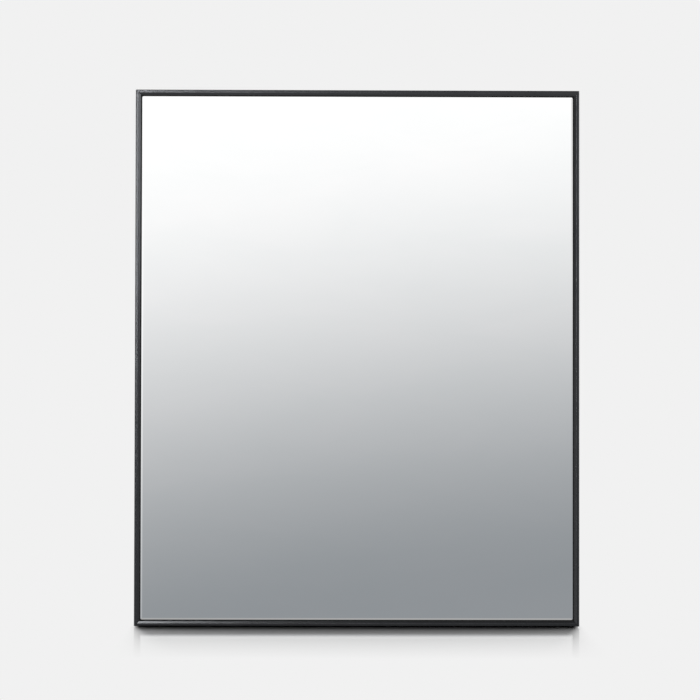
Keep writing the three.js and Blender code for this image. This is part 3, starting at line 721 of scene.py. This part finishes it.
screwKinds = {
    "hinge": {"head": 2.5, "headHeight": 1.3, "shank": 1.4, "length": 7},
    "panel": {"head": 3.4, "headHeight": 1.8, "shank": 1.7, "length": 11},
    "latch": {"head": 2.6, "headHeight": 1.4, "shank": 1.3, "length": 15},
}
# pitch and depth in mm; root and crest as shares of the pitch; the tip is as long as 1.8 shank
# radii and starts at 0.8 of the shank's radius
thread = {"pitch": 0.9, "depth": 0.22, "root": 0.3, "crest": 0.75, "taper": 0.8, "tip": 1.8}
# arm and halfWidth as shares of the head's radius, depth of its height, taper the size left at
# the floor; the cut begins this many mm over the head
recess = {"arm": 0.62, "halfWidth": 0.13, "depth": 0.6, "taper": 0.55, "over": 1}


# one bar of the cross: four walls that draw in towards its floor, closed at both ends
def recessBar(cutter, spin, arm, half, top, floor):
    outline = [(-arm, -half), (arm, -half), (arm, half), (-arm, half)]
    taper = recess["taper"]
    high = [cutter.verts.new(spin @ Vector((x, y, top))) for x, y in outline]
    low = [cutter.verts.new(spin @ Vector((x * taper, y * taper, floor))) for x, y in outline]
    cutter.faces.new(high)
    cutter.faces.new(low)
    for k in range(4):
        n = (k + 1) % 4
        cutter.faces.new((high[k], high[n], low[n], low[k]))


# A pan-head screw with a cross recess. Its tip points along z and its head's underside is at 0.
def screwMesh(kind):
    sizes = [screwKinds[kind][key] * mm for key in ("head", "headHeight", "shank", "length")]
    head, height, shank, length = sizes
    # a flat top half as wide as the head, rounded down to a straight rim a quarter of its height
    profile = [(0, -height), (head * 0.5, -height)]
    for degrees in range(15, 91, 15):
        across, down = math.sin(math.radians(degrees)), math.cos(math.radians(degrees))
        profile.append((head * (0.5 + 0.5 * across), -height * down * 0.75 - height * 0.25))
    profile += [(head, 0), (shank, 0)]
    pitch, tip = thread["pitch"] * mm, shank * thread["tip"]
    for k in range(int((length - tip) / pitch)):
        at = k * pitch
        profile += [(shank - thread["depth"] * mm, at + pitch * thread["root"])]
        profile += [(shank, at + pitch * thread["crest"])]
    profile += [(shank * thread["taper"], length - tip), (0, length)]
    bm = bmesh.new()
    turnedMesh(bm, profile, 32)
    piece = meshPiece(f"{kind}ScrewBlank", bm, finishes["zincPlate"], weighted=False)
    cutter = bmesh.new()
    for turn in (0, 90):
        spin = Matrix.Rotation(math.radians(turn), 4, "Z")
        recessBar(cutter, spin, head * recess["arm"], head * recess["halfWidth"],
                  -height - recess["over"] * mm, -height + height * recess["depth"])
    cross = meshPiece(f"{kind}Recess", cutter, finishes["zincPlate"], weighted=False)
    carve = piece.modifiers.new("carve", "BOOLEAN")
    carve.object = cross
    carve.use_self = True
    settled(piece)
    bpy.data.objects.remove(cross)
    smoothed(piece, 35)
    mesh = piece.data
    bpy.data.objects.remove(piece)
    return mesh


# sets a screw in its node's box, with its tip towards the back, the front or the right
def setScrew(node, mesh, kind, pointing, body):
    low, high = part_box(node)
    spot = middle(node)
    head = screwKinds[kind]["headHeight"] * mm
    place, turn, axis = {
        "back": ((spot.x, low.y + head, spot.z), -90, "X"),
        "front": ((spot.x, high.y - head, spot.z), 90, "X"),
        "right": ((low.x + head, spot.y, spot.z), 90, "Y"),
    }[pointing]
    matrix = Matrix.Translation(place) @ Matrix.Rotation(math.radians(turn), 4, axis)
    stopped = (spot.z / mm * 37) % 90  # each stops at its own angle
    screw = bpy.data.objects.new(f"{node}.fine", mesh)
    bpy.context.scene.collection.objects.link(screw)
    screw.matrix_world = matrix @ Matrix.Rotation(math.radians(stopped), 4, "Z")
    return mounted(screw, body, "zinc_fasteners", node)


panelScrews = [f"{row}_panel_screw_{i}" for row in ("top", "bottom") for i in (1, 2, 3)]
screwSets = [
    ("hinge", "back", "cabinet", bodyHingeScrews),
    ("hinge", "front", "door", doorHingeScrews),
    ("panel", "front", "cabinet", panelScrews),
    ("latch", "right", "cabinet", ["latch_screw_1", "latch_screw_2"]),
]
screwMeshes = {kind: screwMesh(kind) for kind in screwKinds}
for kind, pointing, body, names in screwSets:
    for name in names:
        setScrew(name, screwMeshes[kind], kind, pointing, body)
print("screws set")


bumperShape = {"footShare": 0.97, "footRise": 0.15}  # its foot draws in a little at the door


def bumper(node):
    low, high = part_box(node)
    radius, height = (high.x - low.x) / 2, high.y - low.y
    profile = [(0, 0), (radius * bumperShape["footShare"], 0), (radius, bumperShape["footRise"] * mm)]
    for degrees in range(0, 90, 9):
        turn = math.radians(degrees)
        profile.append((radius * math.cos(turn), height - radius + radius * math.sin(turn)))
    bm = bmesh.new()
    turnedMesh(bm, profile + [(0, height)], 40)
    spot = middle(node)
    matrix = Matrix.Translation((spot.x, low.y, spot.z)) @ alongY
    piece = meshPiece(f"{node}.dome", bm, finishes["siliconeRubber"], matrix)
    return mounted(piece, "door", "clear_silicone", node)


bumper("lower_bumper")
bumper("upper_bumper")

keptShapes = {"corner_key": "dieCastAluminium", "latch_spring": "brushedStainless"}
for name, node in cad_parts.items():
    for word, finish in keptShapes.items():
        if word in name:
            node.data.materials.clear()
            node.data.materials.append(finishes[finish])
print("bumpers, corner keys and spring finished")


stage = {
    "tone": "#F1F1F1", "roughness": 0.07, "gloss": 0.8, "farGloss": 0.08, "size": 60,
    "shadowReach": 0.38, "shadowFull": 0.02, "glossReach": 0.16, "glossFull": 0.11,
    "sideFade": 0.012, "sideSpread": 0.10,  # width of the shadow's soft ends, close by and far out
    "under": 0.0002,  # the floor lies this far below the cabinet
    "apron": 0.003,  # the door's lower arris mirrors this much of the floor in front of it
}


# Backlit studio floor: an even pale glow, with a polished strip in front of the cabinet that takes its soft
# shadow and a short reflection. That shadow is cast, but the glow is mixed back in over it with distance
# and towards the sides, so its fade and its ends are painted. Beside the cabinet the glow paints over the
# shadow it casts.
def floorMaterial():
    material = bpy.data.materials.new("backlitStudioFloor")
    material.use_nodes = True
    tree = material.node_tree
    tree.nodes.clear()
    place = addNode(tree, "ShaderNodeNewGeometry").outputs["Position"]
    axes = addNode(tree, "ShaderNodeSeparateXYZ", links={0: place})
    front = -doorLow.y
    smooth = {"interpolation_type": "SMOOTHSTEP"}
    # how far a spot is in front of or behind the cabinet, and how far inside its width
    outward = addNode(tree, "ShaderNodeMath", {"operation": "ABSOLUTE"}, {0: axes.outputs["Y"]}).outputs[0]
    sideways = addNode(tree, "ShaderNodeMath", {"operation": "ABSOLUTE"}, {0: axes.outputs["X"]}).outputs[0]
    # painted shadow fade: the lit, shaded floor shows fully close to the cabinet, front and back, and gives
    # way to the glow by shadowReach
    near = addNode(
        tree, "ShaderNodeMapRange",
        {"From Min": front + stage["shadowReach"], "From Max": front + stage["shadowFull"]},
        {"Value": outward},
    )
    taper = addNode(
        tree, "ShaderNodeMapRange",
        {"From Min": front, "From Max": front + stage["shadowReach"],
         "To Min": stage["sideFade"], "To Max": stage["sideSpread"]},
        {"Value": outward},
    )
    reach = doorHigh.x + stage["sideFade"] / 2
    spare = addNode(tree, "ShaderNodeMath", {"operation": "SUBTRACT", 0: reach}, {1: sideways})
    share = addNode(
        tree, "ShaderNodeMath", {"operation": "DIVIDE"}, {0: spare.outputs[0], 1: taper.outputs[0]}
    )
    between = addNode(tree, "ShaderNodeMapRange", smooth, {"Value": share.outputs[0]})
    # where this mask falls to nothing, the glow paints over the shadow the cabinet casts at the sides and
    # far out
    mask = addNode(
        tree, "ShaderNodeMath", {"operation": "MULTIPLY"}, {0: near.outputs[0], 1: between.outputs[0]}
    )
    polish = addNode(
        tree, "ShaderNodeMapRange",
        {**smooth, "From Min": -front - stage["glossReach"], "From Max": -front - stage["glossFull"],
         "To Min": stage["farGloss"], "To Max": stage["gloss"]},
        {"Value": axes.outputs["Y"]},
    )
    shader = addNode(
        tree, "ShaderNodeBsdfPrincipled",
        {"Base Color": linear(stage["tone"]), "Roughness": stage["roughness"], "IOR": 1.45},
        {"Specular IOR Level": polish.outputs[0]},
    )
    glow = addNode(tree, "ShaderNodeEmission", {"Color": linear(stage["tone"]), "Strength": 1.0})
    mixed = addNode(
        tree, "ShaderNodeMixShader", links={0: mask.outputs[0], 1: glow.outputs[0], 2: shader.outputs[0]}
    )
    addNode(tree, "ShaderNodeOutputMaterial", links={"Surface": mixed.outputs[0]})
    return material


# the wide floor stays out of the mirror; the apron under the cabinet does not
def studioFloor():
    material = floorMaterial()
    level = cadBox[0][2] - stage["under"]
    half = stage["size"] / 2
    apronFront = doorLow.y - stage["apron"]
    spans = {
        "floorInFront": (-half, -half, half, apronFront),
        "floorBehind": (-half, -doorLow.y, half, half),
        "floorLeft": (-half, apronFront, doorLow.x, -doorLow.y),
        "floorRight": (doorHigh.x, apronFront, half, -doorLow.y),
        "floorApron": (doorLow.x, apronFront, doorHigh.x, -doorLow.y),
    }
    for name, span in spans.items():
        bm = bmesh.new()
        bm.faces.new([bm.verts.new((x, y, level)) for x, y in rectangle(*span)])
        floor = meshPiece(name, bm, material, weighted=False)
        floor.visible_glossy = name == "floorApron"


backdrop = {
    "tone": "#F1F1F1",
    "fromFront": 0.05, "fromBehind": 2.4,  # how strong the soft light is from either side
    "bounce": 0.15,  # what the mirror throws on to the floor
    # what the mirror faces, from low to high: the rise above or below level, and the tone there
    "zones": [
        (-0.50, "#E0E0E0"),  # the pale floor far in front
        (-0.25, "#A8A8A8"),
        (-0.08, "#8C9094"),  # the dim lower part of the room
        (0.12, "#FCFCFC"),  # the lit panel, which fades in softly above it
        (0.30, "#FFFFFF"),
        (0.50, "#9A9A9A"),  # past its upper edge
    ],
    "panelGain": 1.2,
    "lean": 0.15, "curve": 0.3,  # the panel's tones rise to the left, along a bend
    "sideFlag": "#DBDBDB", "flagFrom": 0.18, "flagTo": 0.26,  # it is no brighter than this to the right
    "reach": 0.5, "turn": 0.1,  # ends of the rise, and half the width of the change from front to back
}


# Seen directly it is an even pale room. Reflections see a lit panel in front and the pale room
# behind, and matt surfaces are lit by a dome that is brighter from behind.
def studioWorld():
    world = bpy.data.worlds.new("softStudio")
    bpy.context.scene.world = world
    world.use_nodes = True
    tree = world.node_tree
    tree.nodes.clear()
    place = addNode(tree, "ShaderNodeTexCoord").outputs["Generated"]
    axes = addNode(tree, "ShaderNodeSeparateXYZ", links={0: place})
    slope = addNode(
        tree, "ShaderNodeMath", {"operation": "MULTIPLY_ADD", 1: backdrop["curve"], 2: -backdrop["lean"]},
        {0: axes.outputs["X"]},
    )
    rise = addNode(
        tree, "ShaderNodeMath", {"operation": "MULTIPLY_ADD"},
        {0: axes.outputs["X"], 1: slope.outputs[0], 2: axes.outputs["Z"]},
    )
    reach = backdrop["reach"]
    factor = addNode(
        tree, "ShaderNodeMapRange", {"From Min": -reach, "From Max": reach}, {"Value": rise.outputs[0]}
    )
    ramp = addNode(tree, "ShaderNodeValToRGB", links={"Fac": factor.outputs[0]})
    ramp.color_ramp.interpolation = "EASE"
    stops = ramp.color_ramp.elements
    while len(stops) < len(backdrop["zones"]):
        stops.new(0.5)
    for stop, (height, tone) in zip(stops, backdrop["zones"]):
        stop.position = (height + reach) / (2 * reach)
        stop.color = linear(tone)
    flagged = addNode(
        tree, "ShaderNodeMapRange", {"From Min": backdrop["flagFrom"], "From Max": backdrop["flagTo"]},
        {"Value": axes.outputs["X"]},
    )
    capped = addNode(
        tree, "ShaderNodeMix",
        {"data_type": "RGBA", "blend_type": "DARKEN", 7: linear(backdrop["sideFlag"])},
        {0: flagged.outputs[0], 6: ramp.outputs[0]},
    )
    panel = addNode(
        tree, "ShaderNodeBackground", {"Strength": backdrop["panelGain"]}, {"Color": capped.outputs[2]}
    )
    pale = addNode(tree, "ShaderNodeBackground", {"Color": linear(backdrop["tone"])})
    dim = addNode(tree, "ShaderNodeBackground", {"Color": (1, 1, 1, 1), "Strength": backdrop["bounce"]})
    turn = backdrop["turn"]
    strength = addNode(
        tree, "ShaderNodeMapRange",
        {"From Min": -turn, "From Max": 1.0,
         "To Min": backdrop["fromFront"], "To Max": backdrop["fromBehind"]},
        {"Value": axes.outputs["Y"]},
    )
    dome = addNode(tree, "ShaderNodeBackground", {"Color": (1, 1, 1, 1)}, {"Strength": strength.outputs[0]})
    inFront = addNode(
        tree, "ShaderNodeMapRange", {"From Min": turn, "From Max": -turn}, {"Value": axes.outputs["Y"]}
    )
    rays = addNode(tree, "ShaderNodeLightPath")
    mirrored = addNode(
        tree, "ShaderNodeMixShader", links={0: inFront.outputs[0], 1: pale.outputs[0], 2: panel.outputs[0]}
    )
    thrown = addNode(
        tree, "ShaderNodeMixShader",
        links={0: rays.outputs["Diffuse Depth"], 1: mirrored.outputs[0], 2: dim.outputs[0]},
    )
    lit = addNode(
        tree, "ShaderNodeMixShader",
        links={0: rays.outputs["Is Glossy Ray"], 1: dome.outputs[0], 2: thrown.outputs[0]},
    )
    seen = addNode(
        tree, "ShaderNodeMixShader",
        links={0: rays.outputs["Is Camera Ray"], 1: lit.outputs[0], 2: pale.outputs[0]},
    )
    addNode(tree, "ShaderNodeOutputWorld", links={"Surface": seen.outputs[0]})


softboxes = {
    "keyStrip": {
        "place": (-0.41, -1.20, 0.72), "target": (-0.25, -0.065, 0.40), "size": (0.08, 0.80), "power": 6.0,
    },
    "sideStrip": {
        "place": (0.74, -0.42, 0.75), "target": (-0.25, -0.065, 0.45), "size": (0.16, 0.60), "power": 2.2,
    },
    "overheadSoftbox": {
        "place": (-0.44, -0.584, 1.16), "target": (-0.24, -0.065, 0.0), "size": (0.16, 0.16), "power": 5.0,
    },
}
litBars = bpy.data.collections.new("litBars")
for piece in doorBars:
    litBars.objects.link(piece)


# a small softbox that only draws the sheen on the door's frame
def addSoftbox(name, settings):
    light = bpy.data.lights.new(name, "AREA")
    light.shape = "RECTANGLE"
    light.size, light.size_y = settings["size"]
    light.energy = settings["power"]
    lamp = bpy.data.objects.new(name, light)
    bpy.context.scene.collection.objects.link(lamp)
    lamp.location = settings["place"]
    aim = Vector(settings["target"]) - Vector(settings["place"])
    lamp.rotation_euler = aim.to_track_quat("-Z", "Y").to_euler()
    lamp.visible_diffuse = False
    lamp.light_linking.receiver_collection = litBars


# a long lens a little below the middle, tipped up and turned slightly towards the cabinet
view = {
    "distance": 3.0, "x": -0.0420, "height": 0.2460,
    "tilt": 1.292, "turn": -0.644, "roll": 0.113, "lens": 136.14, "sensor": 36,
}


def camera():
    lens = bpy.data.cameras.new("camera")
    lens.lens = view["lens"]
    lens.sensor_width = view["sensor"]
    lens.clip_start = 0.05
    cameraObject = bpy.data.objects.new("camera", lens)
    bpy.context.scene.collection.objects.link(cameraObject)
    spot = Matrix.Translation((view["x"], doorLow.y - view["distance"], view["height"]))
    turn = Matrix.Rotation(math.radians(view["turn"]), 4, "Z")
    tilt = Matrix.Rotation(math.radians(90 + view["tilt"]), 4, "X")
    roll = Matrix.Rotation(math.radians(view["roll"]), 4, "Z")
    cameraObject.matrix_world = spot @ turn @ tilt @ roll
    bpy.context.scene.camera = cameraObject


studioFloor()
studioWorld()
for name, settings in softboxes.items():
    addSoftbox(name, settings)
camera()
bpy.context.scene.view_settings.view_transform = "Standard"
print("stage set")
